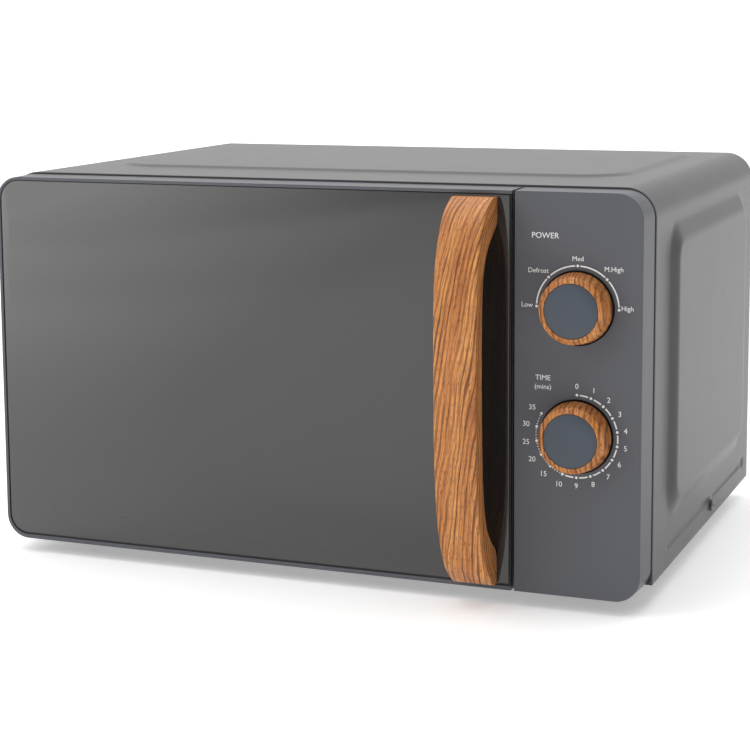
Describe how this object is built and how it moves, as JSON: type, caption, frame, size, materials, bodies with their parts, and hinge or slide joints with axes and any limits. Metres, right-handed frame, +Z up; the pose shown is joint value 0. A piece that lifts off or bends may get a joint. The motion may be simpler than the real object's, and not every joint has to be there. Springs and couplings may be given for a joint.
{
  "type": "microwave oven",
  "caption": "Compact countertop microwave oven: grey steel cabinet, side-hinged dark glass door with a bowed wood-effect handle, and a side panel with two rotary dials.",
  "frame": {"origin": "on the table under the centre of the oven's overall outline, handle and cord inlet included", "axes": "+X to the right as seen from the front, +Y to the back, +Z up; the door and dials face -Y"},
  "size_m": [0.4554, 0.376, 0.2604],
  "materials": {
    "cabinet_paint": "semi-gloss grey stoved paint",
    "galvanised": "galvanised sheet",
    "cavity_enamel": "pale grey enamel",
    "frame_paint": "dark grey paint",
    "front_moulding": "semi-gloss grey moulding",
    "wood_effect": "moulding with a printed wood-effect film",
    "slate_cap": "satin slate plastic",
    "mirror_glass": "smoked mirror glass",
    "tray_glass": "clear toughened glass",
    "lamp_glass": "clear bulb",
    "screw_steel": "zinc-plated steel",
    "spring_steel": "spring wire",
    "rubber": "black rubber",
    "black_plastic": "black moulding",
    "white_plastic": "white nylon",
    "mica": "mica sheet",
    "lamination": "varnished laminations",
    "copper": "enamelled copper wire",
    "aluminium": "plain aluminium",
    "circuit_board": "paper laminate board",
    "fuse_ceramic": "ceramic tube",
    "choke_film": "black moulding"
  },
  "bodies": {
    "chassis": {"air_duct": "black_plastic", "base_plate": "galvanised", "cable_gland": "black_plastic", "capacitor_clamp": "galvanised", "control_panel": "front_moulding", "door_switches": "black_plastic", "fan_motor": "lamination", "fan_shroud": "galvanised", "feet": "rubber", "filter_board": "circuit_board", "front_frame": "frame_paint", "hv_capacitor": "aluminium", "hv_diode": "black_plastic", "lamp_bulb": "lamp_glass", "lamp_holder": "galvanised", "latch_board": "white_plastic", "lower_hinge": "galvanised", "magnetron_body": "galvanised", "magnetron_fins": "aluminium", "mains_fuse": "fuse_ceramic", "outer_cabinet": "cabinet_paint", "oven_cavity": "cavity_enamel", "primary_winding": "copper", "rear_panel": "galvanised", "rear_screws": "screw_steel", "secondary_winding": "copper", "side_screws": "screw_steel", "thermal_cutout": "black_plastic", "timer_bell": "galvanised", "timer_unit": "white_plastic", "transformer_core": "lamination", "turntable_motor": "galvanised", "upper_hinge": "galvanised", "waveguide": "galvanised", "waveguide_cover": "mica"},
    "door": {"door_frame": "front_moulding", "door_glass": "mirror_glass", "door_inner_panel": "cavity_enamel", "door_screen": "frame_paint", "choke_cover": "choke_film", "door_handle": "wood_effect", "handle_screws": "screw_steel", "latch_spring": "spring_steel"},
    "latch_bar": {"latch_hooks": "white_plastic"},
    "power_dial": {"power_knob": "wood_effect", "power_knob_cap": "slate_cap", "power_spindle": "aluminium"},
    "timer_dial": {"timer_knob": "wood_effect", "timer_knob_cap": "slate_cap", "timer_spindle": "aluminium"},
    "coupler": {"drive_coupler": "white_plastic"},
    "tray": {"glass_tray": "tray_glass"},
    "ring": {"roller_ring": "white_plastic"},
    "roller_1": {"tray_roller_1": "white_plastic"},
    "roller_2": {"tray_roller_2": "white_plastic"},
    "roller_3": {"tray_roller_3": "white_plastic"},
    "fan": {"fan_blade": "white_plastic"},
    "plunger_1": {"switch_plunger_1": "white_plastic"},
    "plunger_2": {"switch_plunger_2": "white_plastic"},
    "plunger_3": {"switch_plunger_3": "white_plastic"}
  },
  "joints": [
    {"name": "door_hinge", "type": "hinge", "parent": "chassis", "child": "door", "pos_m": [-0.2152, -0.1375, 0.1335], "axis": [0, 0, -1], "range_deg": [0, 100]},
    {"name": "latch_lift", "type": "slide", "parent": "door", "child": "latch_bar", "axis": [0, 0, 1], "range_m": [0, 0.0035], "stiffness_N_per_m": 300, "springref_m": -0.004, "deforming": ["latch_spring"]},
    {"name": "power_dial_turn", "type": "hinge", "parent": "chassis", "child": "power_dial", "pos_m": [0.1815, -0.1465, 0.1881], "axis": [0, 1, 0], "range_deg": [0, 180]},
    {"name": "timer_dial_turn", "type": "hinge", "parent": "chassis", "child": "timer_dial", "pos_m": [0.1815, -0.1465, 0.1098], "axis": [0, 1, 0], "range_deg": [0, 300]},
    {"name": "turntable_spin", "type": "hinge", "parent": "chassis", "child": "coupler", "pos_m": [-0.0535, 0.018, 0.037], "axis": [0, 0, 1], "continuous": true},
    {"name": "tray_lift_out", "type": "slide", "parent": "coupler", "child": "tray", "axis": [0, 0, 1], "range_m": [0, 0.08]},
    {"name": "ring_roll", "type": "hinge", "parent": "chassis", "child": "ring", "pos_m": [-0.0535, 0.018, 0.0435], "axis": [0, 0, 1], "continuous": true},
    {"name": "fan_spin", "type": "hinge", "parent": "chassis", "child": "fan", "pos_m": [0.16, 0.14, 0.162], "axis": [0, 1, 0], "continuous": true},
    {"name": "roller_1_spin", "type": "hinge", "parent": "ring", "child": "roller_1", "pos_m": [-0.0535, 0.116, 0.0435], "axis": [0, 1, 0], "continuous": true},
    {"name": "roller_2_spin", "type": "hinge", "parent": "ring", "child": "roller_2", "pos_m": [-0.13837, -0.031, 0.0435], "axis": [-0.866, -0.5, 0], "continuous": true},
    {"name": "roller_3_spin", "type": "hinge", "parent": "ring", "child": "roller_3", "pos_m": [0.03137, -0.031, 0.0435], "axis": [0.866, -0.5, 0], "continuous": true},
    {"name": "plunger_1_press", "type": "slide", "parent": "chassis", "child": "plunger_1", "axis": [0, 1, 0], "range_m": [0, 0.001], "stiffness_N_per_m": 400, "springref_m": -0.001},
    {"name": "plunger_2_press", "type": "slide", "parent": "chassis", "child": "plunger_2", "axis": [0, 1, 0], "range_m": [0, 0.001], "stiffness_N_per_m": 400, "springref_m": -0.001},
    {"name": "plunger_3_press", "type": "slide", "parent": "chassis", "child": "plunger_3", "axis": [0, 1, 0], "range_m": [0, 0.001], "stiffness_N_per_m": 400, "springref_m": -0.001}
  ],
  "couplings": [
    {"joint": "ring_roll", "follows": "turntable_spin", "ratio": 0.5},
    {"joint": "roller_1_spin", "follows": "turntable_spin", "ratio": -7.7778},
    {"joint": "roller_2_spin", "follows": "turntable_spin", "ratio": -7.7778},
    {"joint": "roller_3_spin", "follows": "turntable_spin", "ratio": -7.7778}
  ]
}
